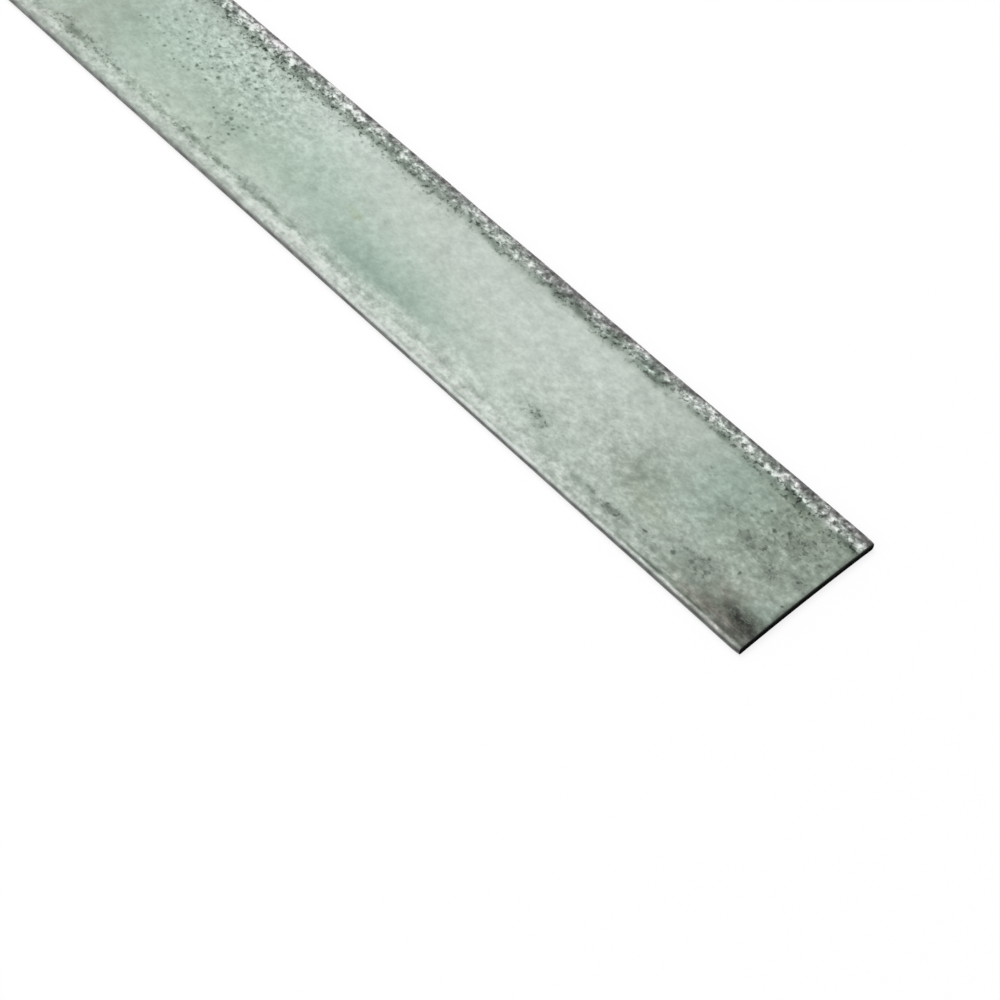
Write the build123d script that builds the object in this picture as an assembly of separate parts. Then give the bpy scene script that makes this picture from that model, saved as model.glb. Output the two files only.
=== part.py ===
from build123d import *
import math
import os

# Flat bar: one straight length of rolled steel, lying on its wide face.
# +X runs along the bar, +Y across it and +Z through its thickness.
# The origin is under the middle of the bar, on the face that it rests on.
# All sizes are in millimetres.

# Rolled section
bar_length = 1000.0     # over the corners of the two cut ends
bar_width = 50.0        # over the crowns of the two mill edges
bar_thickness = 3.0
arris_radius = 0.8      # the four long arrises, rounded by the rolls
edge_barrel = 0.15      # how far each mill edge bulges between its arrises

# Sheared ends
cut_hollow = 0.3        # how far the middle of a cut lies behind its corners
rollover_depth = 0.3    # height of the rounding where the blade went in
rollover_radius = 0.5
burnish_height = 1.0    # height of the smooth band next to it
fracture_lean = 0.05    # how far the torn band leans back at the other face

# How far the stock and the shear's outline run past what they cut
tool_margin = 5.0


def rolled_section():
    """The section: two flat faces, two barrelled mill edges and four rounded arrises."""
    half_width = bar_width / 2
    shoulder = half_width - edge_barrel
    half_thickness = bar_thickness / 2
    with BuildSketch(Plane.YZ) as section:
        with BuildLine():
            Line((-shoulder, 0), (shoulder, 0))
            ThreePointArc((shoulder, 0), (half_width, half_thickness), (shoulder, bar_thickness))
            Line((shoulder, bar_thickness), (-shoulder, bar_thickness))
            ThreePointArc((-shoulder, bar_thickness), (-half_width, half_thickness), (-shoulder, 0))
        make_face()
        fillet(section.vertices(), arris_radius)
    return section.sketch


def shear_tool():
    """What the shear takes off the +X end: a disc whose rim has the outline of the cut.

    The disc stands far beyond the end, so its rim leaves the cut slightly hollow between
    the bar's corners. Down the rim come the rollover, the burnished band and the fracture,
    which leans back from the foot of the burnished band to the lower face."""
    half_width = bar_width / 2
    rim_radius = (half_width**2 + cut_hollow**2) / (2 * cut_hollow)
    rim = bar_length / 2 - cut_hollow
    burnish_top = bar_thickness - rollover_depth
    burnish_foot = burnish_top - burnish_height
    lean_slope = fracture_lean / burnish_foot
    fracture_end = rim - lean_slope * (burnish_foot + tool_margin)
    above = bar_thickness + tool_margin
    beyond = bar_length / 2 + tool_margin
    with BuildSketch(Plane.XZ) as outline:
        with BuildLine():
            rollover = CenterArc((rim - rollover_radius, burnish_top), rollover_radius, 0, 90)
            Polyline(
                rollover @ 1,
                (rim - rollover_radius, above),
                (beyond, above),
                (beyond, -tool_margin),
                (fracture_end, -tool_margin),
                (rim, burnish_foot),
                rollover @ 0,
            )
        make_face()
    half_turn = math.degrees(math.asin((half_width + tool_margin) / rim_radius))
    disc_axis = Axis((rim + rim_radius, 0, 0), (0, 0, 1))
    disc = revolve(outline.sketch, axis=disc_axis, revolution_arc=2 * half_turn)
    return disc.rotate(disc_axis, -half_turn)


def flat_bar():
    """The stock, cut to length.

    Each stroke of the shear leaves its rollover on the upper face of the stock that it
    holds and on the lower face of the piece that it drops, so the cut at -X is the cut
    at +X given half a turn about the middle of the bar."""
    stock = extrude(rolled_section(), amount=bar_length / 2 + tool_margin / 2, both=True)
    near_cut = shear_tool()
    middle_axis = Axis((0, 0, bar_thickness / 2), (0, 1, 0))
    far_cut = near_cut.rotate(middle_axis, 180)
    return stock - near_cut - far_cut


bar = flat_bar()
bar.label = "flat_bar"

os.makedirs("parts", exist_ok=True)
export_step(bar, "parts/flat_bar.step")
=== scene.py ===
import math

import bpy
import numpy as np
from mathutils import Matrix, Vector


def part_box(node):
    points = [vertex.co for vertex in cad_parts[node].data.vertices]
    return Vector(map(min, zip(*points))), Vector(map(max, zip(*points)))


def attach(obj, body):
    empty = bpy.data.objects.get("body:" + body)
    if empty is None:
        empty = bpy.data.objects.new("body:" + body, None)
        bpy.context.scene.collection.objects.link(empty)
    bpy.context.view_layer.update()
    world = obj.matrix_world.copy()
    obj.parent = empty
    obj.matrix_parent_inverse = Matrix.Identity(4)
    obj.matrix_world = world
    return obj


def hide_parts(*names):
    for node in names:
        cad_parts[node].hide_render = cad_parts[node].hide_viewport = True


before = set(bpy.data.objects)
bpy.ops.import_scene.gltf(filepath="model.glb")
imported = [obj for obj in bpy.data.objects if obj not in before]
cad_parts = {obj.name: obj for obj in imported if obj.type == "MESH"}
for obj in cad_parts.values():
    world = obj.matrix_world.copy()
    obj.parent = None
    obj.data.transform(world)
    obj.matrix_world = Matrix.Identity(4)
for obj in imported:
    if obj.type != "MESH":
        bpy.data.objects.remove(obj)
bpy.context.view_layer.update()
millimetre = 0.001   # shapes are worked out in millimetres and go into the mesh in metres
print("frame loaded:", ", ".join(sorted(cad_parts)))

# The bar as a maker would give it. It lies along X, and its near end is the one at +X.

barLow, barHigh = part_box("flat_bar")

bar = {
    "length": (barHigh.x - barLow.x) / millimetre,
    "width": (barHigh.y - barLow.y) / millimetre,
    "thickness": (barHigh.z - barLow.z) / millimetre,
    "arrisRadius": 0.8,
    "edgeBarrel": 0.15,        # bulge of each mill edge between its arrises
    "cutHollow": 0.3,          # how far the middle of a cut lies behind its corners
    "rolloverDepth": 0.3,
    "rolloverRadius": 0.5,
    "burnishHeight": 1.0,
    "fractureLean": 0.05,
    "stripWidth": 7.0,         # the strips of rougher scale beside the mill edges
    "edgePoints": 3,
    "arrisPoints": 5,
    "rimPoints": 10,           # over rimWidth beside an arris, then stripPoints over the strip
    "rimWidth": 2.4,
    "stripPoints": 8,
    "facePoints": 18,
    "closeReach": 322.0,       # sections lie closer together this far from the near end
    "closeStep": 1.0,
    "farStep": 3.4,
    "capRows": 20,
    "rolloverRows": 3,         # the rows of a cap that keep their scale
    "sharpAngle": 32,          # degrees past which an edge looks sharp
}

relief = {                     # depths and sizes in millimetres, inwards from the rolled section
    "waveDepth": 0.02,
    "waveSize": 55.0,
    "skinDepth": 0.012,
    "skinSize": 2.2,
    "flakeDepth": 0.05,
    "flakeSize": 1.1,
    "flakeSqueeze": 0.7,       # makes flakes longer along the bar than across it
    "flakeReach": 4.0,         # flaking is at its full depth this far in from a mill edge
    "flakeLeft": 0.35,         # its share beside the -Y edge
    "underShift": 400.0,       # moves the underside's pattern along from the top's
    "endReach": 3.0,           # near a cut the relief dies away to endShare
    "endShare": 0.15,
    "faceTurn": (0.2, 0.9),    # and round an arris to nothing, by the upward part of the normal
    "wander": 0.05,            # the mill edges wander inwards by up to this
    "wanderSize": 14.0,
    "wanderApart": 40.0,       # keeps the two edges' wander apart
    "wanderReach": (0.5, 3.0), # and it dies away over this far in from the edge
    "cornerWear": 0.25,
    "cornerReach": 1.2,
    "tornDepth": 0.05,
    "tornSize": 0.7,
    "tornFlatten": 3.0,        # the fracture's grain is this much wider than tall
    "tornTop": (0.1, 0.5),     # and starts this far under the burnished band
    "tornFoot": 0.3,           # and dies away this far above the bottom rim
    "seed": 11,
    "dips": [                  # mm from the near end, side, half length, depth
        (72, 1, 16, 0.16), (108, 1, 10, 0.08), (148, 1, 9, 0.12), (206, 1, 9, 0.08),
        (25, -1, 12, 0.05), (188, -1, 22, 0.07), (118, -1, 20, 0.03),
    ],
}

latticeLong, latticeWide = 1024, 256   # random heights along and across before they repeat


def smoothStep(low, high, value):
    # 0 up to low, 1 from high on, and an S-shaped cubic between them
    share = np.clip((value - low) / (high - low), 0.0, 1.0)
    return share * share * (3.0 - 2.0 * share)


def latticeNoise(along, across, size, seed):
    # seeded random heights from 0 to 1 on a square lattice, size apart, blended smoothly between
    heights = np.random.default_rng(seed).random((latticeLong, latticeWide))
    a, b = along / size, across / size + latticeWide / 2
    i, j = np.floor(a).astype(int), np.floor(b).astype(int)
    s, t = smoothStep(0, 1, a - i), smoothStep(0, 1, b - j)
    i0, i1 = i % latticeLong, (i + 1) % latticeLong
    j0, j1 = j % latticeWide, (j + 1) % latticeWide
    low = heights[i0, j0] * (1 - s) + heights[i1, j0] * s
    high = heights[i0, j1] * (1 - s) + heights[i1, j1] * s
    return low * (1 - t) + high * t


def sectionHalf():
    # The upper half of the rolled section, from the +Y crown over the top to the -Y crown, as
    # (y, z, normal y, normal z). A mill edge is an arc through its two shoulders and the crown,
    # an arris is an arc that touches the edge and the face, and the face is level.
    half, middle, radius = bar["width"] / 2, bar["thickness"] / 2, bar["arrisRadius"]
    edgeRadius = (middle**2 + bar["edgeBarrel"] ** 2) / (2 * bar["edgeBarrel"])
    edgeCentre = half - edgeRadius
    rise = middle - radius
    arrisCentre = edgeCentre + math.sqrt((edgeRadius - radius) ** 2 - rise**2)
    meet = math.asin(rise / (edgeRadius - radius))
    edgeTurn = np.linspace(0.0, meet, bar["edgePoints"], endpoint=False)
    arrisTurn = np.linspace(meet, math.pi / 2, bar["arrisPoints"], endpoint=False)
    inner = half - bar["stripWidth"]
    rim = half - bar["rimWidth"]
    level = np.concatenate([
        np.linspace(arrisCentre, rim, bar["rimPoints"], endpoint=False),
        np.linspace(rim, inner, bar["stripPoints"], endpoint=False),
        np.linspace(inner, 0.0, bar["facePoints"]),
    ])
    turn = np.concatenate([edgeTurn, arrisTurn, np.full(len(level), math.pi / 2)])
    y = np.concatenate([
        edgeCentre + edgeRadius * np.cos(edgeTurn),
        arrisCentre + radius * np.cos(arrisTurn),
        level,
    ])
    z = np.concatenate([
        middle + edgeRadius * np.sin(edgeTurn),
        middle + rise + radius * np.sin(arrisTurn),
        np.full(len(level), bar["thickness"]),
    ])
    right = np.column_stack([y, z, np.cos(turn), np.sin(turn)])
    left = right[-2::-1] * np.array([-1.0, 1.0, -1.0, 1.0])
    return np.vstack([right, left])


def sectionPlaces():
    # where the sections stand along the bar: wide apart on the far stretch, then close together
    end = bar["length"] / 2
    change = end - bar["closeReach"]
    farCount = int((change + end) / bar["farStep"])
    closeCount = int(bar["closeReach"] / bar["closeStep"])
    return np.concatenate([
        np.linspace(-end, change, farCount, endpoint=False),
        np.linspace(change, end, closeCount),
    ])


def cutInset(across, height):
    # How far a sheared end lies behind the full length. In plan the hollow is a circle through
    # the corners; down the cut come the rollover's arc, the burnished band and the fracture,
    # which leans back in a straight line.
    half, hollow, roll = bar["width"] / 2, bar["cutHollow"], bar["rolloverRadius"]
    rimRadius = (half**2 + hollow**2) / (2 * hollow)
    inset = hollow - rimRadius + np.sqrt(rimRadius**2 - across**2)
    burnishTop = bar["thickness"] - bar["rolloverDepth"]
    burnishFoot = burnishTop - bar["burnishHeight"]
    above = np.clip(height - burnishTop, 0.0, roll)
    below = np.clip(burnishFoot - height, 0.0, None)
    return inset + roll - np.sqrt(roll**2 - above**2) + below * bar["fractureLean"] / burnishFoot


def surfaceDepth(along, across):
    # How far the rolled surface lies under its full section: long shallow waves, a skin of fine
    # scale, and flaking that deepens in the strips beside the mill edges, most on the +Y side.
    seed, half = relief["seed"], bar["width"] / 2
    waves = latticeNoise(along, across, relief["waveSize"], seed + 1) * relief["waveDepth"]
    skin = latticeNoise(along, across, relief["skinSize"], seed + 2) * relief["skinDepth"]
    strip = smoothStep(half - bar["stripWidth"], half - relief["flakeReach"], np.abs(across))
    share = np.where(across > 0, 1.0, relief["flakeLeft"])
    flakes = latticeNoise(along * relief["flakeSqueeze"], across, relief["flakeSize"], seed + 3)
    return waves + skin + strip * share * flakes * relief["flakeDepth"]


def edgeDepth(along, side):
    # How far a mill edge lies inside its full width: a slow random wander, a few long dips and
    # a little wear at the two corners of each end.
    seed = relief["seed"] + 5
    wander = latticeNoise(along, side * relief["wanderApart"], relief["wanderSize"], seed)
    wander = wander * relief["wander"]
    for place, edge, reach, depth in relief["dips"]:
        wander = wander + (side == edge) * depth * np.exp(-(((along - place) / reach) ** 2) / 2)
    reach = relief["cornerReach"]
    corner = np.exp(-along / reach) + np.exp((along - bar["length"]) / reach)
    return wander + corner * relief["cornerWear"]


def tubePoints(places, loop):
    # The loop at every place, with its two ends on the rims of the cuts and straight lines
    # between them. Each point is then drawn in along its normal by the surface's depth, and
    # the mill edges are drawn in across the bar.
    y, z, normalY, normalZ = loop.T
    end = bar["length"] / 2
    share = ((places + end) / (2 * end))[:, None]
    farRim = -end + cutInset(y, bar["thickness"] - z)
    nearRim = end - cutInset(y, z)
    x = farRim + share * (nearRim - farRim)
    shift = np.where(normalZ < 0, relief["underShift"], 0.0)
    depth = surfaceDepth(end - x + shift, np.broadcast_to(y, x.shape))
    fade = smoothStep(0.0, relief["endReach"], end - np.abs(x))
    depth = depth * np.clip(fade, relief["endShare"], 1.0)
    depth = depth * smoothStep(*relief["faceTurn"], np.abs(normalZ))
    pull = edgeDepth(end - x, np.broadcast_to(np.sign(y), x.shape))
    pull = pull * (1.0 - smoothStep(*relief["wanderReach"], bar["width"] / 2 - np.abs(y)))
    return np.stack([x, y - normalY * depth - np.sign(y) * pull, z - normalZ * depth], -1)


def cutPoints(top, bottom, side):
    # The inner points of a cut, in rows from its top rim down to its bottom rim. They lie
    # behind the full length by the cut's inset, and the fracture is pitted by its grain.
    drop = (np.arange(1, bar["capRows"]) / bar["capRows"])[:, None]
    y = top[:, 1] + drop * (bottom[:, 1] - top[:, 1])
    z = top[:, 2] + drop * (bottom[:, 2] - top[:, 2])
    height = z if side > 0 else bar["thickness"] - z
    foot = bar["thickness"] - bar["rolloverDepth"] - bar["burnishHeight"]
    torn = smoothStep(*relief["tornTop"], foot - height)
    torn = torn * smoothStep(0.0, relief["tornFoot"], height)
    seed = relief["seed"] + 7 + side
    grain = latticeNoise(y, z * relief["tornFlatten"], relief["tornSize"], seed)
    grain = grain * relief["tornDepth"]
    x = side * (bar["length"] / 2 - cutInset(y, height) - torn * grain)
    return np.stack([x, y, z], -1)[:, 1:-1]


def rolledBar():
    # The half section and its mirror image underneath make a closed loop, carried from the far
    # cut to the near one. Each cap is a grid whose columns run from the top rim down to the
    # bottom rim and close to a point at the crowns. Gives the points, the grids of point
    # numbers, the places along the bar and the loop.
    half = sectionHalf()
    columns = len(half)
    mirror, lift = np.array([1.0, -1.0, 1.0, -1.0]), np.array([0.0, bar["thickness"], 0, 0])
    loop = np.vstack([half, half[-2:0:-1] * mirror + lift])
    around = len(loop)
    places = sectionPlaces()
    tube = tubePoints(places, loop)
    tubeIndex = np.arange(len(places) * around).reshape(-1, around)

    points, grids = [tube.reshape(-1, 3)], [np.hstack([tubeIndex, tubeIndex[:, :1]])]
    count = tubeIndex.size
    partner = (-np.arange(columns)) % around
    for row, side in ((0, -1), (len(places) - 1, 1)):
        inner = cutPoints(tube[row, :columns], tube[row, partner], side)
        points.append(inner.reshape(-1, 3))
        inside = np.arange(count, count + len(points[-1])).reshape(-1, columns - 2)
        count += inside.size
        first, last = tubeIndex[row, :columns], tubeIndex[row, partner]
        pole = np.ones((len(inside), 1), int)
        cap = np.vstack([first, np.hstack([pole * first[0], inside, pole * first[-1]]), last])
        grids.append(cap if side > 0 else cap[::-1])
    return np.vstack(points), grids, places, loop


def gridCells(index):
    # each cell of a grid of point numbers, as four corners in order round an outward face
    corners = [index[:-1, :-1], index[:-1, 1:], index[1:, 1:], index[1:, :-1]]
    return np.stack(corners, -1).reshape(-1, 4)


points, grids, places, loop = rolledBar()
cells = np.vstack([gridCells(grid) for grid in grids])
kept = cells != np.roll(cells, 1, axis=1)  # a cell at a pole has one corner twice
faces = np.split(cells[kept], np.cumsum(kept.sum(1))[:-1])

mesh = bpy.data.meshes.new("rolled_bar")
mesh.from_pydata((points * millimetre).tolist(), [], [face.tolist() for face in faces])
rolledBarPiece = bpy.data.objects.new("rolled_bar", mesh)
bpy.context.scene.collection.objects.link(rolledBarPiece)
print("bar surface:", len(points), "points,", len(cells), "faces")

sheet = {                      # the flat sheet for baked looks, in dots
    "size": 1024,
    "strips": 4,               # the length is cut into this many strips, one above the other
    "overrun": 4.0,            # mm left free at each end of a strip
    "gap": 3.0,
    "levelTurn": 0.99,         # faces turned up or down by more than this are level
    "topFine": 3.4,            # dots per mm
    "sideFine": 2.3,
    "underFine": 1.16,
    "cutFine": 8.0,
    "cutStarts": (0.51, 0.02), # where the far and the near cut begin, as shares of size
}


def flatSheet():
    # Where each corner of each cell lies on the sheet. A strip runs along the bar and goes once
    # round the section from the +Y crown; the two cuts lie above the strips, spread out square.
    y, z, _, normalZ = np.vstack([loop, loop[:1]]).T
    facing = (normalZ[:-1] + normalZ[1:]) / 2
    fine = np.where(facing < -sheet["levelTurn"], sheet["underFine"], sheet["sideFine"])
    fine = np.where(facing > sheet["levelTurn"], sheet["topFine"], fine)
    girth = np.hypot(np.diff(y), np.diff(z))
    turn = np.concatenate([[0.0], np.cumsum(girth * fine)])
    reach = (places[-1] - places[0]) / sheet["strips"]
    strip = ((places[:-1] + places[1:]) / 2 - places[0]) // reach
    start = places[:-1] - places[0] - strip * reach + sheet["overrun"]
    stop = start + np.diff(places)
    level = strip * (turn[-1] + sheet["gap"]) + sheet["gap"]
    across = np.stack([start, start, stop, stop], -1)[:, None] / (reach + 2 * sheet["overrun"])
    up = level[:, None, None] + np.stack([turn[:-1], turn[1:], turn[1:], turn[:-1]], -1)[None]
    across, up = np.broadcast_arrays(across, up / sheet["size"])
    parts = [np.stack([across, up], -1).reshape(-1, 4, 2)]
    cutLevel = sheet["strips"] * (turn[-1] + sheet["gap"]) + sheet["gap"]
    width = np.concatenate([[0.0], np.cumsum(girth)])[:grids[1].shape[1]]
    for grid, begin in zip(grids[1:], sheet["cutStarts"]):
        row, column = np.indices(grid.shape)
        cutAcross = begin + width[column] * sheet["cutFine"] / sheet["size"]
        drop = row * bar["thickness"] / bar["capRows"]
        cutUp = (cutLevel + drop * sheet["cutFine"]) / sheet["size"]
        parts.append(np.stack([gridCells(cutAcross), gridCells(cutUp)], -1))
    return np.concatenate(parts)


sheetPlaces = flatSheet()
mesh.uv_layers.new(name="OFBake").data.foreach_set("uv", sheetPlaces[kept].ravel())
print("flat sheet filled up to", sheetPlaces.max((0, 1)).round(3))

# What the scale looks like where. Places are mm from the near end and mm from the middle line
# towards +Y. The underside carries on from the top at the far end, so it lies at 1000 to 2000 mm.
# Kinds of colour multiply the base at strength 1, and textures are how strong a texture is.
# A patch is a soft bell: place along, place across, half length, half width, strength.
# A band runs along a mill edge: side, mm in from the edge, half width, from, to, strength.
# A scatter is random patches past the placed ones: how many, then the least and most of the
# place across (either side), half length, half width and strength.
# A turn is where something starts and where it is full. A share is its least and what is added.

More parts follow.
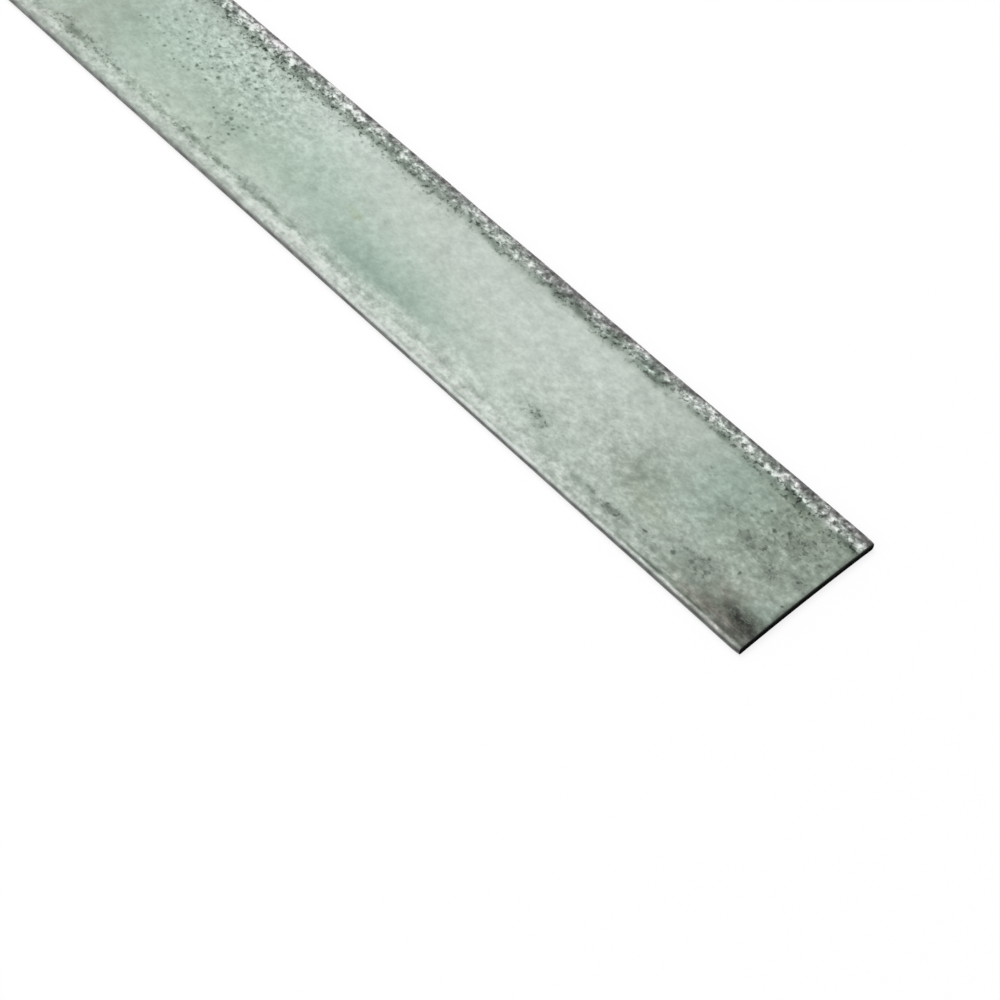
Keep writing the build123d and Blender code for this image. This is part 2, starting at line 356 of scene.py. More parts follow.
scale = {
    "seed": 51,
    "base": (0.408, 0.455, 0.413),
    "kinds": {
        "bloom": (1.10, 1.085, 1.10),
        "moss": (0.86, 0.95, 0.905),
        "teal": (0.66, 0.75, 0.71),
        "dull": (0.55, 0.59, 0.55),
        "brown": (0.66, 0.56, 0.52),
        "grey": (1.05, 1.0, 1.035),
        "bare": (1.47, 1.36, 1.43),
        # the next kind lightens worn bare metal and paints a highlight on the -Y arris
        "wearAndHighlight": (1.34, 1.27, 1.34),
        "plum": (0.50, 0.46, 0.485),
        "slate": (0.52, 0.55, 0.535),
        "olive": (0.93, 0.94, 0.86),
        "aqua": (0.91, 1.0, 1.0),
    },
    "placedReach": 330.0,      # patches are placed this far, and scattered past it
    "noises": {                # size in mm and seed
        "shiftAlong": (7.0, 21), "shiftAcross": (6.0, 22), "ragged": (5.0, 23),
        "frayed": (1.8, 24), "clump": (4.0, 25), "patchy": (9.0, 26), "broken": (3.0, 27),
        "cloudy": (2.4, 28), "dashes": (3.0, 29), "torn": (1.4, 30),
    },
    "reaches": {               # how far a noise shifts a place, in mm from side to side
        "shiftAlong": 5.0, "shiftAcross": 2.4, "ragged": 1.6, "frayed": 1.0, "torn": 0.4,
    },
    "freeReach": 4.0,          # places shift across in full from this far in from a mill edge
    "brokenTurn": (0.2, 0.6),
    "brokenSqueeze": 0.3,      # makes the broken places longer across the bar than along it
    "rightStrip": (4.8, 6.6),  # mm in over which the strip at the +Y edge gives way to the face
    "leftStrip": (4.4, 6.2),   # the same at the -Y edge
    "flakyStrip": (4.0, 6.0),  # and for the speckle of the +Y strip
    "border": (5.8, 1.0),      # the flecked line between strip and face: mm in and half width
    "borderShare": (0.2, 0.8),
    "patchyShare": (0.15, 0.6),
    "endShadeTurn": (-30, 100),    # mm from an end over which the painted shade near it dies away
    "endShadeShare": 1.1,
    "endShadeStripLess": 0.85,     # how much of it the +Y strip is spared
    "cloudyKinds": ("brown", "dull"),
    "cloudyShare": (0.45, 1.1),
    "faceKinds": ("moss", "olive", "aqua", "bloom"),
    "faceStripLess": 0.8,
    "bandFade": 15.0,          # mm over which a band starts and ends
    "bandLoose": {             # the noise that breaks a band, and its share
        "dull": ("clump", 0.2, 1.6), "slate": ("patchy", 0.75, 0.5),
        "plum": ("broken", 0.5, 0.8), "grey": ("patchy", 1.0, 0.0), "bare": ("patchy", 0.6, 0.8),
    },
    "edge": (0.105, 0.114, 0.108), # mill edges: partly their darker scale, partly painted shade on the upright sides
    "edgeMiddle": 0.55,        # the height of their dark line, as a share of the thickness
    "edgeFade": (0.4, 1.1),    # mm above and below it over which it gives way to the face
    "edgeReach": (0.6, 0.3),   # mm in from the full width
    "dashTurn": (0.25, 0.75),
    "dashShare": (0.7, 0.7),
    "edgeShare": (0.95, 0.6),  # lighter further along
    "edgeTurn": (40, 100),
    "endShare": (0.65, 0.35),  # and painted shade darkens the scale at the ends, where the face rolls over into a cut
    "endTurn": (0.2, 1.45),
    "cutTurn": (-0.1, 0.45),   # mm down the cut
    "cutShade": 4.0,            # how dark the painted shade makes the cut under its rollover, as a power of e
    "burnishTop": (-0.05, 0.1), # mm under the rollover
    "burnishFoot": (-0.1, 0.1), # mm under the burnished band
    "bands": {
        "dull": [
            (1, 5.8, 0.8, -50, 2050, 0.7), (-1, 5.5, 0.7, -50, 2050, 0.35), (-1, 1.5, 0.35, -50, 45, 1.1),
            (-1, 1.35, 0.4, 40, 2050, 0.3),
        ],
        "slate": [
            (1, 4, 1.4, -50, 2050, 0.65), (1, 2.2, 0.9, -50, 190, 0.4), (1, 2.2, 0.7, 190, 2050, 0.3),
        ],
        "plum": [
            (1, 0.95, 0.36, -50, 2050, 1), (1, 1.5, 0.6, 60, 220, 0.25), (-1, 0.35, 0.3, 165, 2050, 0.5),
        ],
        "grey": [(1, 2, 1.1, -50, 2050, 0.8), (-1, 1.5, 1.5, 165, 2050, 0.3)],
        "bare": [(-1, 3.1, 1.2, 15, 2050, 0.3)],
    },
    "patches": {
        "bloom": [
            (207, -20, 12, 3, 0.4), (212, 17, 8, 2.5, 0.5), (100, 8, 22, 9, 0.25), (135, 9, 26, 10, 0.4),
            (188, 13, 18, 6, 0.8), (240, 12, 22, 6, 0.9), (207, 15, 8, 4, 0.7),
        ],
        "moss": [
            (240, 2, 42, 16, 0.9), (285, -6, 20, 12, 0.9), (160, -10, 26, 7, 0.6),
            (100, -14, 18, 4, 0.35), (64, 6, 10, 8, -0.2), (36, 12, 9, 6, 0.7), (196, -2, 14, 8, 0.5),
            (40, 4, 12, 6, 0.4),
        ],
        "teal": [
            (83, 21.8, 3, 1.2, 0.8), (155, -13.8, 13, 1.3, 0.3), (163, -12.5, 13, 3.6, 0.75),
            (140, -12, 12, 4, 0.4), (155, -4, 20, 4, 0.2), (200, -8, 10, 4, 0.2), (226, -9, 10, 4, 0.35),
        ],
        "dull": [
            (168, 1.3, 0.9, 0.6, 0.45), (192.3, -5.3, 1, 0.5, 0.5), (8, 18, 9, 0.8, 0.35),
            (9, 19.8, 8, 0.8, -0.8), (247, 15.8, 7, 1.2, -0.25), (14, -23.5, 14, 0.35, 0.35),
            (40, 20.4, 14, 0.8, -0.4), (67, 20.6, 6, 0.6, -0.4), (67, 23.4, 7, 0.6, -0.4),
            (140, 20.1, 9, 0.7, 0.35), (160, 20.5, 8, 0.8, -0.4), (180, 19.6, 9, 0.7, 0.4),
            (217, 18.4, 7, 1.4, -0.25), (226.5, 19.4, 3.5, 0.9, 0.35), (226, 22, 1.1, 1.6, 0.5),
            (236, 22.5, 0.9, 1.4, 0.5), (230, 20.8, 0.9, 0.9, 0.4), (247, 23.2, 7, 0.6, -0.5),
            (247, 20.8, 7, 0.7, -0.4), (261, 21.5, 5, 0.5, -0.4), (67, -20.8, 7, 1, 0.2),
            (38, -21.2, 7, 1, 0.18), (102, -20.3, 8, 1, -0.2), (118, -18, 9, 1, -0.15),
            (160, -20.2, 8, 0.9, -0.2), (262, -20.4, 6, 1, 0.25), (128, -13, 8, 2.5, 0.1),
            (82, -16, 6, 1.4, 0.2), (57, -4, 6, 6, 0.4), (18, 12, 12, 8, 0.15), (88, -13.5, 4, 1.4, 0.5),
            (7, -8, 8, 3.5, -0.3), (4, -15, 4, 1.5, 0.35), (46, -2, 5, 3, 0.2), (55, -14, 6, 2, 0.2),
            (24, -22, 6, 1.5, 0.25), (75, -22.5, 5, 1.2, 0.2), (115, -22.5, 5, 1.2, 0.2),
            (125, 18, 6, 1.2, 0.35), (267, 17, 6, 4, 0.25), (24, -17.5, 5, 2, 0.45),
            (50, -22.5, 9, 1.2, 0.2), (78, -2, 10, 6, 0.12), (280, -3, 8, 5, 0.15),
            (52.5, -19, 1.8, 0.6, 0.9), (27, -14.5, 5, 1.6, 0.3), (20, 18.9, 1.2, 0.7, 1.2),
            (22, 17.6, 1.2, 0.6, 0.9), (26.5, 19, 2.2, 0.9, 1), (29.6, 19.7, 0.8, 0.6, 0.9),
            (32.8, 18.5, 0.8, 0.6, 0.8), (52.2, 19.1, 1.2, 0.7, 1.2), (4, 18.8, 1.2, 0.6, 0.9),
            (54.5, 20.4, 1.2, 0.5, 1), (63, 19.2, 1.2, 0.5, 1), (75, 20.6, 3.2, 1, 1.5),
            (97, 21.2, 2, 0.9, 1.3), (109, 20.5, 1.6, 1.2, 1), (112.5, 20.3, 1.5, 0.9, 0.9),
            (122, 19.8, 2.2, 0.5, 1.1), (64, -19, 4, 0.9, 0.3), (288, -18.6, 4, 1.2, 0.9),
            (187, -19.6, 2.2, 0.8, 1), (197, -19.2, 2.4, 0.9, 1), (206, -19.4, 3, 0.9, 0.7),
            (221, -19.6, 2.5, 0.9, 0.9), (230, -19.8, 3.5, 0.8, 0.9), (283, -23.6, 3, 0.7, 0.7),
            (190, 19.8, 9, 0.7, 0.35), (228, 17.5, 9, 1.2, 0.2), (240, -21.4, 8, 0.8, 0.25),
        ],
        "brown": [
            (175.3, -4.2, 0.7, 0.6, 0.5), (12, -17, 7, 4, 0.5), (10, -22, 10, 2, 0.6),
            (292, -8, 9, 10, 0.25), (292, -18, 12, 5, 0.1),
        ],
        "grey": [(9, -22.3, 9, 1.3, 1.6)],
        "bare": [
            (4.5, 20.6, 3.5, 0.8, 0.9), (12.5, 20.5, 2.2, 0.9, 1.2), (18, 21, 2, 0.7, 0.6),
            (25.5, 21.8, 2.6, 0.8, 1.1), (32, 21.1, 3, 0.8, 1.1), (45, 21.3, 2.6, 1.3, 1.3),
            (52, 22.5, 2.4, 0.6, 0.5), (58.5, 21.3, 2, 1, 0.9), (63, 21.2, 2, 0.8, 0.5),
            (68, 21.4, 2, 1.2, 0.6), (73, 21.8, 1.5, 0.6, 0.7), (88, 20.9, 1.8, 0.8, 0.6),
            (92.5, 21.8, 1.2, 0.6, 1.1), (101, 22.5, 2, 0.7, 0.5), (107, 20.2, 1.2, 0.7, 0.5),
            (122.5, 21.4, 2, 0.8, 1.2), (128.5, 21.2, 2, 0.8, 1.2), (146, 21.4, 7, 1, 0.6),
            (209, 21.5, 9, 1.1, 0.45), (232, 22.6, 10, 1.3, 0.5), (248, 22.4, 8, 1.3, 1),
            (180, -22.2, 16, 1.2, 0.2), (152, -17.2, 15, 1, 0.15),
        ],
        # worn bare metal and a painted highlight along the -Y arris
        "wearAndHighlight": [
            (10, -24.4, 18, 0.3, 1.3), (42, -24.35, 14, 0.3, 0.6), (92, -24.5, 26, 0.4, 1.1),
            (150, -24.6, 26, 0.45, 0.9), (1, -24.2, 1.2, 0.35, 1.2), (11, -24.3, 2.5, 0.35, 1.6),
            (22.5, -24.3, 3, 0.35, 1.3), (34, -24.4, 4, 0.3, 0.8), (44, -24.4, 2, 0.3, 0.8),
        ],
        "olive": [
            (178, -2.4, 1.3, 0.6, 2), (175.3, -4.2, 0.8, 0.7, 2), (10, 13, 9, 6, 0.5),
            (47, -12, 5, 3, 0.6), (56, -6, 5, 4, 0.5), (24, 17, 6, 2, 0.5), (20, -2, 12, 6, 0.4),
            (235, -11, 24, 8, 0.5),
        ],
        "aqua": [(3, -11.5, 3, 2.5, 0.8), (37, -4, 7, 3, 0.4), (38, 8, 9, 9, 0.2)],
        "plum": [
            (8, 22.6, 9, 0.7, 0.45), (22, 22.7, 7, 0.6, 0.3), (2.5, 23.4, 2, 0.6, 1),
            (7, 23.8, 1.4, 0.5, 0.9), (13, 23.5, 1.6, 0.6, 0.8), (26, 23.6, 2.5, 0.6, 0.6),
            (36, 23.4, 1.2, 0.6, 0.7), (96, 23.3, 2.2, 0.6, 0.7), (114, 22, 7, 1.5, 0.8),
            (80, 22.6, 8, 0.8, 0.3), (163, 22.6, 5, 1.4, 0.35),
        ],
    },
    "scatter": {
        "bloom": (12, (0, 14), (14, 30), (5, 10), (0.3, 0.8)),
        "moss": (16, (0, 16), (14, 40), (6, 14), (0.4, 1.0)),
        "teal": (10, (4, 16), (8, 18), (3, 6), (0.2, 0.6)),
        "dull": (36, (16, 20), (4, 12), (0.8, 2.2), (0.2, 0.6)),
        "bare": (44, (20.6, 22.8), (5, 13), (0.7, 1.3), (0.2, 0.9)),
        "plum": (20, (20.5, 23.4), (6, 12), (0.8, 1.6), (0.2, 0.5)),
    },
    "textures": {
        "speckle": [
            (14, 9, 13, 9, 0.16), (14, -15, 14, 7, 0.1), (140, -18.5, 36, 2.5, 0.12),
            (242, 10, 24, 9, 0.22), (60, -8, 26, 10, 0.1), (235, -19.3, 34, 1.5, 0.2),
            (235, 21.5, 34, 2, 0.12),
        ],
        "darkFlecks": [
            (13, 11, 9, 6, 0.22), (12, 10, 4, 2.6, 0.4), (20, 1.5, 4, 1.8, 0.6),
            (11.2, -1.9, 1.6, 1.2, 0.9), (4, 0, 1.8, 0.9, 0.8), (33, 3.8, 2.2, 0.9, 0.6),
            (29, 9.4, 1.6, 0.9, 0.5), (27.5, -12.8, 4, 0.9, 0.5), (24, -16.2, 5, 1.3, 0.4),
            (40, -19.2, 2.6, 0.9, 0.5), (45.5, 9.5, 1.4, 0.7, 0.5), (14, 17.5, 14, 1.6, 0.4),
            (28, 18.5, 8, 1.4, 0.3), (190, 18, 20, 1.6, 0.4), (228, 18.4, 12, 1.8, 0.9),
            (252, 18.6, 10, 1.4, 0.8), (235, -19.4, 34, 0.9, 0.5), (288, -18.6, 10, 2, 0.6),
            (88, -13.5, 4, 1.6, 0.6), (52.5, -19.3, 2.5, 1, 0.8),
        ],
        "brightFlecks": [(50, 22, 12, 1.6, 0.4), (250, 22, 20, 2, 0.5), (205, 21, 10, 1.6, 0.3)],
        "pitting": [(250, 9, 17, 8, 0.6), (236, 14, 9, 4, 0.5), (229, -8, 4, 6, 0.6)],
        "mottling": [
            (14, 8, 14, 9, 0.3), (12, 10, 6, 3, 0.3), (26, -14, 5, 2.4, 0.4), (57, -4, 5, 8, 0.2),
            (88, -13.5, 5, 1.6, 0.7), (40, -19, 4, 1, 0.5), (53, -19.2, 3, 1, 0.7), (64, -19, 4, 1, 0.5),
        ],
        "soot": [
            (11.7, 10.6, 1.6, 1.1, 0.2), (13.8, 8.8, 1.4, 0.9, 0.15), (18, 4, 2.2, 1.5, 0.15),
            (21.3, 0.2, 2.4, 0.8, 0.4), (11.2, -1.9, 1.4, 1, 0.4), (4, 0, 1.6, 0.7, 0.3),
            (33, 3.8, 2, 0.8, 0.2), (27.5, -12.8, 3.5, 0.8, 0.2), (52.3, -19.6, 2, 0.7, 0.4),
            (6.3, -18.8, 2.6, 1.6, 0.7), (4.5, -19.8, 4, 1, 0.6), (1.8, -16, 2.4, 1.4, 0.75),
            (0.2, -11, 0.9, 5, 0.5), (10, -19.8, 6, 2.2, 0.25), (2, -21.5, 4, 1.2, 0.2),
            (9, -19.6, 3.5, 0.9, 0.2), (12, -18, 4, 1.6, 0.15), (2, -23.2, 4, 0.8, 0.6),
            (11, -22.2, 6, 1, 0.2), (7, -18.8, 2.4, 1.6, 0.35),
        ],
        "streaking": [(10, -22.6, 26, 1.2, 0.25)],
    },
    "textureScatter": {
        "pitting": (12, (0, 17), (8, 24), (4, 9), (0.2, 0.6)),
        "mottling": (24, (0, 20), (5, 16), (2, 8), (0.3, 0.8)),
        "speckle": (14, (0, 18), (10, 26), (5, 10), (0.1, 0.2)),
    },
    "texturesFrom": {          # what each texture is before its patches, by where it is strong
        "speckle": {"everywhere": 0.09, "flakyStrip": 0.75, "leftStrip": 0.1, "shadedEnds": 0.08},
        "darkFlecks": {"border": 1.0, "rightStrip": 0.6, "leftStrip": 0.06},
        "brightFlecks": {"patchyStrip": 1.0, "leftStrip": 0.1},
        "pitting": {"everywhere": 0.002},
        "mottling": {"everywhere": 0.02, "shadedEnds": 0.3},
        "soot": {},
        "streaking": {"rightStrip": 0.1, "leftStrip": 0.05},
    },
}


def bell(along, across, patch):
    # a patch's strength times e to minus half the squared way from its middle, which is counted
    # in half lengths along the bar and half widths across it
    u, v, reach, spread, strength = patch
    return strength * np.exp(-(((along - u) / reach) ** 2 + ((across - v) / spread) ** 2) / 2)


def scattered(draw, table, name):
    # random patches over the length past the placed ones and over the underside
    if name not in table:
        return []
    count, acrossRange, *ranges = table[name]
    along = draw.uniform(scale["placedReach"], 2 * bar["length"], count)
    across = draw.uniform(*acrossRange, count) * draw.choice([-1, 1], count)
    shapes = [draw.uniform(*pair, count) for pair in ranges]
    return list(zip(along, across, *shapes))


def noiseAt(along, across, name):
    # one of the scale's noises, from 0 to 1
    size, seed = scale["noises"][name]
    return latticeNoise(along, across, size, seed)


def shiftAt(along, across, name):
    # the same about 0, over its reach
    return (noiseAt(along, across, name) - 0.5) * scale["reaches"][name]


def shareOf(name, value):
    # the least of the named share at 0, and all of what is added at 1
    least, more = scale[name + "Share"]
    return least + more * value


def easedShare(name, value):
    # the same with an S-shaped step over the turn of that name
    return shareOf(name, smoothStep(*scale[name + "Turn"], value))


def scaleFields():
    # Where every point lies on the scale, in mm, and how far it belongs to each stretch of the
    # scale, from 0 to 1. Noise shifts places a little, less so close to the mill edges.
    half, length = bar["width"] / 2, bar["length"]
    along, across = length / 2 - points[:, 0], points[:, 1]
    along = np.where(points[:, 2] < bar["thickness"] / 2, 2 * length - along, along)
    free = smoothStep(0.0, scale["freeReach"], half - np.abs(across))
    u = along + shiftAt(along, across, "shiftAlong")
    v = across + shiftAt(along, across, "shiftAcross") * free
    ragged = shiftAt(along, across, "ragged") + shiftAt(along, across, "frayed")
    depth = half - np.abs(across) + ragged * free
    right = across > 0
    clump, patchy = noiseAt(along, across, "clump"), noiseAt(along, across, "patchy")
    broken = noiseAt(along, across * scale["brokenSqueeze"], "broken")
    rightStrip = right * (1.0 - smoothStep(*scale["rightStrip"], depth))
    ends = np.minimum(along, np.abs(along - length))
    place, spread = scale["border"]
    border = np.exp(-(((depth - place) / spread) ** 2) / 2)
    return {
        "along": along,
        "across": across,
        "shifted": (u, v),
        "depth": depth,
        "ends": ends,
        "right": right,
        "clump": clump,
        "patchy": patchy,
        "cloudy": noiseAt(along, across, "cloudy"),
        "dashes": noiseAt(along, across, "dashes"),
        "broken": smoothStep(*scale["brokenTurn"], broken),
        "everywhere": np.ones(len(points)),
        "rightStrip": rightStrip,
        "leftStrip": ~right * (1.0 - smoothStep(*scale["leftStrip"], depth)),
        "flakyStrip": right * (1.0 - smoothStep(*scale["flakyStrip"], depth)),
        "patchyStrip": rightStrip * shareOf("patchy", patchy),
        "border": right * border * shareOf("border", clump),
        "shadedEnds": 1.0 - smoothStep(*scale["endShadeTurn"], ends),
    }


def bandLine(fields, name, band):
    # a bell about the band's place in from its mill edge, times an S-shaped step at either end
    # and times the noise that breaks it
    side, place, spread, low, high, strength = band
    noise, least, more = scale["bandLoose"][name]
    fade = scale["bandFade"]
    within = smoothStep(low - fade, low + fade, fields["along"])
    within = within * (1 - smoothStep(high - fade, high + fade, fields["along"]))
    line = np.exp(-(((fields["depth"] - place) / spread) ** 2) / 2)
    line = line * (fields["right"] == (side > 0))
    return strength * line * within * (least + more * fields[noise])


def kindAmounts(fields, draw):
    # how strong each kind of colour is: the sum of its patches and its bands, and painted shade towards
    # the ends
    amounts = {name: np.zeros(len(points)) for name in scale["kinds"]}
    for name, rows in scale["patches"].items():
        for row in rows + scattered(draw, scale["scatter"], name):
            amounts[name] += bell(*fields["shifted"], row)
    for name in scale["cloudyKinds"]:
        amounts[name] *= shareOf("cloudy", fields["cloudy"])
    for name in scale["faceKinds"]:
        amounts[name] *= 1.0 - scale["faceStripLess"] * fields["rightStrip"]
    for name, bands in scale["bands"].items():
        for band in bands:
            amounts[name] += bandLine(fields, name, band)
    # painted shade: the scale darkens towards each end
    less = 1 - scale["endShadeStripLess"] * fields["rightStrip"]
    amounts["dull"] += fields["shadedEnds"] * scale["endShadeShare"] * less
    return amounts


def cutDrop():
    # how far each point lies from the face that the blade went in by
    return np.where(points[:, 0] > 0, bar["thickness"] - points[:, 2], points[:, 2])


def scaleColour(fields, amounts):
    # The base colour times every kind's colour raised to its strength there. The mill edges then
    # take their own colour in dashes, partly a darker scale and partly painted shade on the upright
    # sides. Painted shade darkens the scale at the ends and fades it to near black down the cuts.
    tone = sum(amounts[name][:, None] * np.log(scale["kinds"][name]) for name in amounts)
    colour = np.array(scale["base"]) * np.exp(tone)
    # the mill edges' dark colour, deepest at mid-height: partly a darker scale, partly painted shade on
    # the upright sides
    level = np.abs(points[:, 2] - bar["thickness"] * scale["edgeMiddle"])
    outer, inner = scale["edgeReach"]
    half = bar["width"] / 2
    side = 1.0 - smoothStep(*scale["edgeFade"], level)
    side = side * smoothStep(half - outer, half - inner, np.abs(fields["across"]))
    edge = easedShare("dash", fields["dashes"]) * easedShare("edge", fields["along"])
    edge = edge[:, None] * np.array(scale["edge"])
    colour = colour + (edge - colour) * side[:, None]
    # painted shade over the rollover before each cut, and down each cut to near black
    colour = colour * easedShare("end", fields["ends"])[:, None]
    onCut = np.arange(len(points)) >= len(places) * len(loop)
    cut = onCut * smoothStep(*scale["cutTurn"], cutDrop())
    return colour * np.exp(-scale["cutShade"] * cut)[:, None]


def textureAmounts(fields, draw):
    # how strong each texture is: its share of every stretch of the scale, and its patches
    layers = {}
    for name, shares in scale["texturesFrom"].items():
        layers[name] = np.zeros(len(points))
        for stretch, share in shares.items():
            layers[name] += share * fields[stretch]
    for name, rows in scale["textures"].items():
        for row in rows + scattered(draw, scale["textureScatter"], name):
            layers[name] += bell(*fields["shifted"], row)
    return layers


def burnishAmount(fields):
    # 1 on the burnished band of a cut and 0 off it, with a foot that runs ragged
    top = cutDrop() - bar["rolloverDepth"]
    foot = top - bar["burnishHeight"] + shiftAt(fields["across"], fields["along"] * 0.0, "torn")
    return smoothStep(*scale["burnishTop"], top) * (1.0 - smoothStep(*scale["burnishFoot"], foot))


draw = np.random.default_rng(scale["seed"])
fields = scaleFields()
colour = scaleColour(fields, kindAmounts(fields, draw))
layers = textureAmounts(fields, draw)
layers["burnish"] = burnishAmount(fields)
layer = mesh.attributes.new("scaleColour", "FLOAT_COLOR", "POINT")
layer.data.foreach_set("color", np.column_stack([colour, np.ones(len(colour))]).ravel())
for name, amount in layers.items():
    mesh.attributes.new(name, "FLOAT", "POINT").data.foreach_set("value", np.clip(amount, 0, 2))
print("scale painted")

# the rollover keeps its scale, and the rest of a cut is bare and near black with painted shade
bareFaces = [np.zeros(grids[0][1:, 1:].shape, np.int32)]
for grid in grids[1:]:
    capFaces = np.ones(grid[1:, 1:].shape, np.int32)
    capFaces[:bar["rolloverRows"]] = 0
    bareFaces.append(capFaces)
materialIndex = np.concatenate([part.ravel() for part in bareFaces])
mesh.polygons.foreach_set("material_index", materialIndex)
mesh.shade_smooth()
mesh.set_sharp_from_angle(angle=math.radians(bar["sharpAngle"]))


# From here on, tree is the node tree at hand, and coordinates are its Object coordinates.


def addNode(kind, feeds=None, **settings):
    # a new node with its settings, each input fed by a link or given a value
    node = tree.nodes.new("ShaderNode" + kind)
    for name, value in settings.items():
        setattr(node, name, value)
    for socket, value in (feeds or {}).items():
        if isinstance(value, bpy.types.NodeSocket):
            tree.links.new(value, node.inputs[socket])
        else:
            node.inputs[socket].default_value = value
    return node


def newMaterial(name):
    # a new material, its node tree and its shader
    material = bpy.data.materials.new(name)
    material.use_nodes = True
    return material, material.node_tree, material.node_tree.nodes["Principled BSDF"]


def noiseOf(size, stretch, detail, roughness, shift, rise=1.0):
    # a noise whose features are about size millimetres, stretch times longer along the bar and
    # rise times taller
    fine = 1.0 / (size * millimetre)
    place = addNode("Mapping", {
        "Vector": coordinates,
        "Location": (shift, shift, shift),
        "Scale": (fine / stretch, fine, fine / rise),
    })
    noise = addNode("TexNoise", {
        "Vector": place.outputs[0], "Scale": 1.0, "Detail": detail, "Roughness": roughness,
    })
    return noise.outputs["Fac"]


def calc(operation, *values, clamp=False):
    feeds = dict(enumerate(values))
    return addNode("Math", feeds, operation=operation, use_clamp=clamp).outputs[0]


def vectorCalc(operation, first, second):
    return addNode("VectorMath", {0: first, 1: second}, operation=operation).outputs[0]


def scaled(vector, amount):
    return addNode("VectorMath", {0: vector, "Scale": amount}, operation="SCALE").outputs[0]


def blend(amount, first, second):
    # the first colour at 0 and the second at 1
    return addNode("Mix", {0: amount, 6: first, 7: second}, data_type="RGBA").outputs[2]


def ramp(value, low, high):
    # 0 at low and 1 at high, with an S-shaped curve between them
    ends = {0: value, 1: low, 2: high}
    return addNode("MapRange", ends, interpolation_type="SMOOTHSTEP").outputs[0]


def evenNoise(*settings):
    # the same noise about 0
    return calc("SUBTRACT", noiseOf(*settings), 0.5)


def amountOf(name):
    # how strong a texture is there, from the attribute painted above
    return addNode("Attribute", attribute_name=name).outputs["Fac"]


def layerOf(pattern, amount, strength):
    # a pattern times how strong it is everywhere and how strong it is there
    return calc("MULTIPLY", calc("MULTIPLY", pattern, strength), amount)


def bumpOf(height, depth):
    return addNode("Bump", {"Height": height, "Strength": 1.0, "Distance": depth}).outputs[0]


spotNet = {                    # soft spots on a ragged net
    "squeeze": 0.9,            # makes the net's cells longer along the bar
    "bend": 0.4,               # how much a noise bends the net, in cells
    "core": 0.2,               # the share of its radius at which a spot is full
    "shallowest": 0.2,         # the least depth of a spot
    "fewLarge": 2.0,           # the power that makes large and deep spots rare
}


def spotsOf(amount, spacing, least, spread, shift):
    # Soft spots, one to a cell of the net at most: a cell has its spot where its random number
    # is under the amount, and two more give the spot's size and depth.
    fine = 1.0 / (spacing * millimetre)
    squeezed = spotNet["squeeze"] * fine
    warp = addNode("TexNoise", {"Vector": coordinates, "Scale": squeezed, "Detail": 1.0})
    bend = vectorCalc("MULTIPLY", warp.outputs["Color"], (spotNet["bend"], spotNet["bend"], 0.0))
    flat = addNode("Mapping", {
        "Vector": coordinates, "Location": (shift, shift, 0.0), "Scale": (squeezed, fine, 0.0),
    })
    place = vectorCalc("ADD", flat.outputs[0], bend)
    net = addNode("TexVoronoi", {"Vector": place, "Scale": 1.0}, voronoi_dimensions="2D")
    chance = addNode("SeparateColor", {0: net.outputs["Color"]})
    there = calc("LESS_THAN", chance.outputs[0], amount)
    large = calc("POWER", chance.outputs[1], spotNet["fewLarge"])
    radius = calc("MULTIPLY_ADD", large, spread, least)
    shape = ramp(calc("DIVIDE", net.outputs["Distance"], radius), 1.0, spotNet["core"])
    deep = calc("POWER", chance.outputs[2], spotNet["fewLarge"])
    deep = calc("MULTIPLY_ADD", deep, 1.0 - spotNet["shallowest"], spotNet["shallowest"])
    return calc("MULTIPLY", there, calc("MULTIPLY", shape, deep))


finish = {                     # each texture darkens or lightens by a power of e
    "metal": 0.3,
    "metalRise": 0.3,          # how much more metallic it is where it is e times lighter
    "roughness": 0.62,
    "roughnessFall": 0.12,     # and how much less rough
    "speckle": 5.2,
    "cloud": 0.45,
    "darkFleck": 1.45,
    "brightFleck": 0.35,
    "mottle": 0.25,
    "blob": 1.4,
    "blobsFrom": 0.25,         # blobs show where the mottling is stronger than this
    "blobShare": 0.9,
    "blobLeast": 0.35,         # their least depth, and blots give the rest
    "soot": 1.3,
    "grimeShare": (0.9, 0.45), # how much of the soot is uneven, and how much is plain
    "streak": 3.0,
    "pit": 0.9,
    "smallPit": 0.5,
    "green": 0.05,             # how much faster red and blue fall than green where it darkens
    "pitGreen": 0.1,           # and how much more of that in a pit
    "brightest": 0.57,
    "brightestSoft": 0.15,     # how softly the green is held under it
    "bumpDepth": 0.00003,
    "noises": {                # size in mm, stretch along the bar, detail, roughness and shift
        "speckle": (1.8, 1.35, 2.0, 0.75, 3.0),
        "flecks": (1.4, 1.15, 2.0, 0.65, 0.0),
        "cloud": (4.0, 1.1, 3.0, 0.7, 5.0),
        "blots": (2.6, 1.1, 3.0, 0.75, 9.0),
        "grime": (2.4, 1.4, 4.0, 0.9, 13.0),
        "streaks": (0.5, 60.0, 2.0, 0.6, 11.0),
        "smallPits": (1.5, 1.1, 1.0, 0.4, 17.0),
    },
    "turns": {                 # the value of the noise at which a mark starts, and is full
        "darkFlecks": (0.48, 0.32),
        "brightFlecks": (0.52, 0.66),
        "blots": (0.60, 0.40),
        "grime": (0.6, 0.38),
        "smallPits": (0.42, 0.30),
    },
    "spots": {                 # spacing in mm, least radius and its spread in cells, and shift
        "blobs": (2.3, 0.25, 0.35, 7.0),
        "pits": (1.9, 0.28, 0.34, 0.0),
    },
}

millScale, tree, shader = newMaterial("rolled_scale")
coordinates = addNode("TexCoord").outputs["Object"]
noises, turns = finish["noises"], finish["turns"]

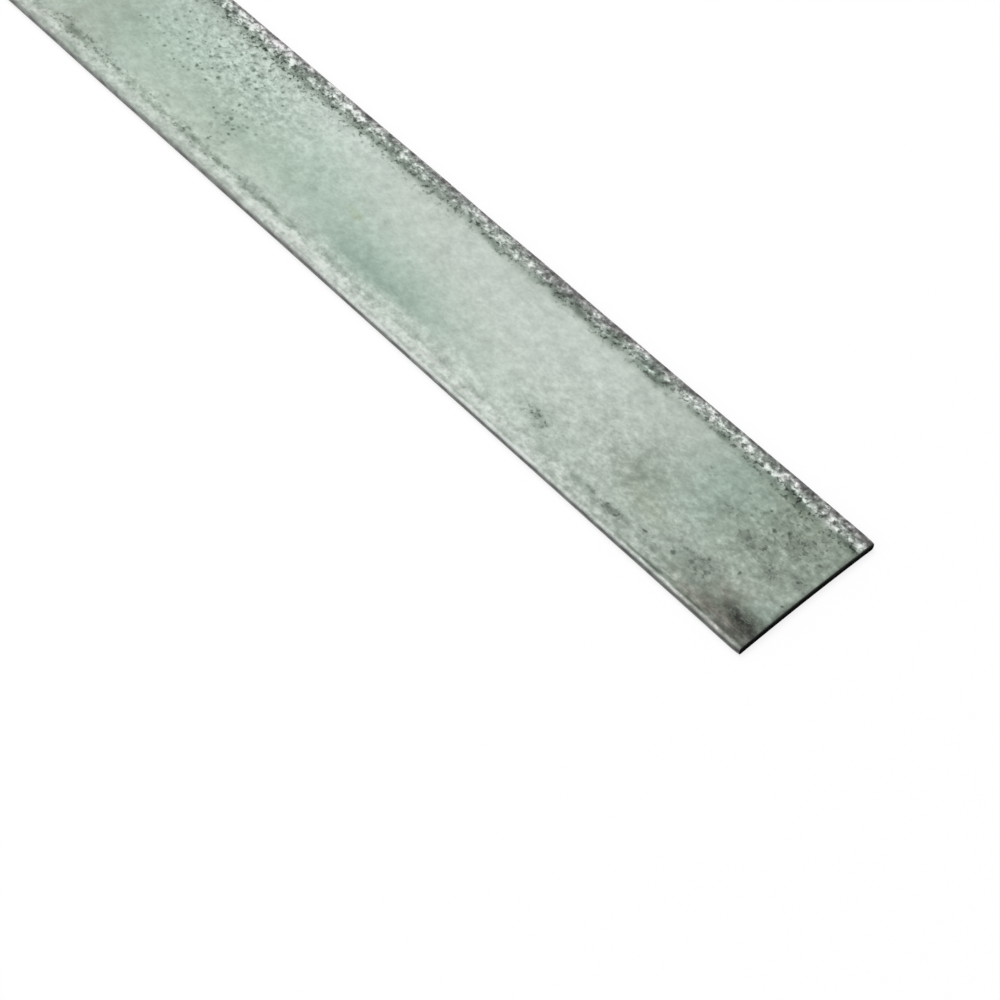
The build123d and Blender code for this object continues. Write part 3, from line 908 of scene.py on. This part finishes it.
speckles = evenNoise(*noises["speckle"])
speckles = layerOf(speckles, amountOf("speckle"), finish["speckle"])
flecks = noiseOf(*noises["flecks"])
darkFlecks = ramp(flecks, *turns["darkFlecks"])
darkFlecks = layerOf(darkFlecks, amountOf("darkFlecks"), -finish["darkFleck"])
brightFlecks = ramp(flecks, *turns["brightFlecks"])
brightFlecks = layerOf(brightFlecks, amountOf("brightFlecks"), finish["brightFleck"])
cloud = calc("MULTIPLY", evenNoise(*noises["cloud"]), finish["cloud"])
mottling = amountOf("mottling")
blots = ramp(noiseOf(*noises["blots"]), *turns["blots"])
mottle = layerOf(blots, mottling, -finish["mottle"])
blobAmount = calc("SUBTRACT", mottling, finish["blobsFrom"])
blobAmount = calc("MULTIPLY", blobAmount, finish["blobShare"])
blobDepth = calc("MULTIPLY_ADD", blots, 1.0 - finish["blobLeast"], finish["blobLeast"])
blobs = layerOf(spotsOf(blobAmount, *finish["spots"]["blobs"]), blobDepth, -finish["blob"])
grime = ramp(noiseOf(*noises["grime"]), *turns["grime"])
grime = calc("MULTIPLY_ADD", grime, *finish["grimeShare"])
grime = layerOf(grime, amountOf("soot"), -finish["soot"])
streaks = evenNoise(*noises["streaks"])
streaks = layerOf(streaks, amountOf("streaking"), finish["streak"])
pitting = amountOf("pitting")
pits = calc("MULTIPLY", spotsOf(pitting, *finish["spots"]["pits"]), -finish["pit"])
smallPits = ramp(noiseOf(*noises["smallPits"]), *turns["smallPits"])
smallPits = layerOf(smallPits, pitting, -finish["smallPit"])

total = speckles
for texture in (cloud, darkFlecks, brightFlecks, mottle, blobs, grime, streaks, pits, smallPits):
    total = calc("ADD", total, texture)
redBlue = calc("MULTIPLY", calc("ADD", pits, smallPits), finish["pitGreen"])
redBlue = calc("MULTIPLY_ADD", total, 1.0 + finish["green"], redBlue)
plain, tinted = calc("EXPONENT", total), calc("EXPONENT", redBlue)
shares = addNode("CombineXYZ", {0: tinted, 1: plain, 2: tinted})
tint = addNode("Attribute", attribute_name="scaleColour")
shade = vectorCalc("MULTIPLY", tint.outputs["Color"], shares.outputs[0])
shadeGreen = addNode("SeparateColor", {0: shade}).outputs[1]
held = calc("SMOOTH_MIN", shadeGreen, finish["brightest"], finish["brightestSoft"])
shade = scaled(shade, calc("DIVIDE", held, shadeGreen))
roughness = calc("MULTIPLY_ADD", total, -finish["roughnessFall"], finish["roughness"], clamp=True)
metal = calc("MULTIPLY_ADD", total, finish["metalRise"], finish["metal"], clamp=True)
tree.links.new(shade, shader.inputs["Base Color"])
tree.links.new(roughness, shader.inputs["Roughness"])
tree.links.new(metal, shader.inputs["Metallic"])
tree.links.new(bumpOf(total, finish["bumpDepth"]), shader.inputs["Normal"])
mesh.materials.append(millScale)

# The cut's colours are near black: painted shade on an end that faces away from the lamps, over its
# burnished band and fracture.
cutLook = {
    "torn": (0.0078, 0.0102, 0.0082, 1), # the fracture, near black as painted shade
    # the burnished band, also near black as painted shade
    "burnished": (0.0165, 0.0200, 0.0170, 1),
    "grain": 3.0,              # how strong the fracture's grain is, as a power of e
    "drag": 2.4,               # and the lines that the blade drags down the burnished band
    "stain": 1.6,
    "roughness": 0.9,
    "smoothing": 0.3,          # how much less rough the burnished band is
    "bumpDepth": 0.00004,
    "noises": {                # as for the scale, and how many times taller the drag lines are
        "grain": (0.5, 1.0, 3.0, 0.7, 2.0),
        "drag": (0.3, 1.0, 2.0, 0.6, 4.0, 12.0),
        "stain": (6.0, 1.0, 2.0, 0.5, 6.0),
    },
}

cutEnd, tree, shader = newMaterial("sheared_end")
coordinates = addNode("TexCoord").outputs["Object"]
noises = cutLook["noises"]
burnish = amountOf("burnish")
fracture = calc("SUBTRACT", 1.0, burnish)
grain = layerOf(evenNoise(*noises["grain"]), fracture, cutLook["grain"])
drag = layerOf(evenNoise(*noises["drag"]), burnish, cutLook["drag"])
stain = calc("MULTIPLY", evenNoise(*noises["stain"]), cutLook["stain"])
marks = calc("ADD", grain, drag)
# painted shade: the cut's near-black colour
shadedMetalColour = blend(burnish, cutLook["torn"], cutLook["burnished"])
shade = scaled(shadedMetalColour, calc("EXPONENT", calc("ADD", marks, stain)))
roughness = calc("MULTIPLY_ADD", burnish, -cutLook["smoothing"], cutLook["roughness"])
tree.links.new(shade, shader.inputs["Base Color"])
tree.links.new(roughness, shader.inputs["Roughness"])
tree.links.new(bumpOf(marks, cutLook["bumpDepth"]), shader.inputs["Normal"])
shader.inputs["Specular IOR Level"].default_value = 0.0
mesh.materials.append(cutEnd)
print("materials made:", ", ".join(material.name for material in mesh.materials))

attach(rolledBarPiece, "root")
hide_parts("flat_bar")

studio = {
    "cameraPlace": (0.7391269, -0.3199547, 0.5948211),
    "cameraAim": (0.4232297, -0.0375686, 0.0),
    "lens": 99.34,
    "sensor": 36.0,
    "clipStart": 0.01,
    "keyPlace": (-0.7, 0.3, 4.0),
    "keyPower": 124.0,
    "keySize": 3.0,
    "fillPlace": (-0.4, -3.2, 2.6),
    "fillPower": 34.0,
    "fillSize": 2.4,
    "worldStrength": 0.3,      # what the world adds to the light; seen, it is plain white
    "floorHalf": 8.0,
    "floorDrop": 0.0001,       # how far the floor lies under the bar
    "floorBounce": 0.8,
    "floorGlow": 0.8,          # how much of the floor that the camera sees is plain white
}
white = (1, 1, 1, 1)

camera = bpy.data.objects.new("camera", bpy.data.cameras.new("camera"))
camera.data.lens = studio["lens"]
camera.data.sensor_width = studio["sensor"]
camera.data.clip_start = studio["clipStart"]
camera.location = studio["cameraPlace"]
gaze = Vector(studio["cameraAim"]) - Vector(studio["cameraPlace"])
camera.rotation_euler = gaze.to_track_quat("-Z", "Y").to_euler()
bpy.context.scene.collection.objects.link(camera)
bpy.context.scene.camera = camera

floorMesh = bpy.data.meshes.new("floor")
wide, down = studio["floorHalf"], -studio["floorDrop"]
corners = [(-wide, -wide, down), (wide, -wide, down), (wide, wide, down), (-wide, wide, down)]
floorMesh.from_pydata(corners, [], [(0, 1, 2, 3)])
floor = bpy.data.objects.new("floor", floorMesh)
bpy.context.scene.collection.objects.link(floor)


def seenRays():
    # 1 for the rays that see the background, straight or in a reflection, and 0 for its light
    rays = addNode("LightPath").outputs
    seen = calc("MAXIMUM", rays["Is Camera Ray"], rays["Is Glossy Ray"])
    return calc("MAXIMUM", seen, rays["Is Transmission Ray"])


floorPaint, tree, shader = newMaterial("floor_paint")
seen = seenRays()
bounce = studio["floorBounce"]
paint = blend(seen, (bounce, bounce, bounce, 1), white)
tree.links.new(paint, shader.inputs["Base Color"])
glow = addNode("Emission", {"Strength": 1.0})
share = calc("MULTIPLY", seen, studio["floorGlow"])
surface = addNode("MixShader", {0: share, 1: shader.outputs[0], 2: glow.outputs[0]})
tree.links.new(surface.outputs[0], tree.nodes["Material Output"].inputs[0])
shader.inputs["Roughness"].default_value = 1.0
shader.inputs["Specular IOR Level"].default_value = 0.0
floorMesh.materials.append(floorPaint)

for name in ("key", "fill"):
    lamp = bpy.data.objects.new(name, bpy.data.lights.new(name, "AREA"))
    lamp.data.energy = studio[name + "Power"]
    lamp.data.size = studio[name + "Size"]
    lamp.location = studio[name + "Place"]
    lamp.rotation_euler = (-lamp.location).to_track_quat("-Z", "Y").to_euler()
    bpy.context.scene.collection.objects.link(lamp)
world = bpy.data.worlds.new("studio")
world.use_nodes = True
tree = world.node_tree
sky = tree.nodes["Background"]
sky.inputs["Color"].default_value = white
light = studio["worldStrength"]
strength = calc("MULTIPLY_ADD", seenRays(), 1.0 - light, light)
tree.links.new(strength, sky.inputs["Strength"])
bpy.context.scene.world = world
bpy.context.scene.view_settings.view_transform = "Standard"
print("studio set")
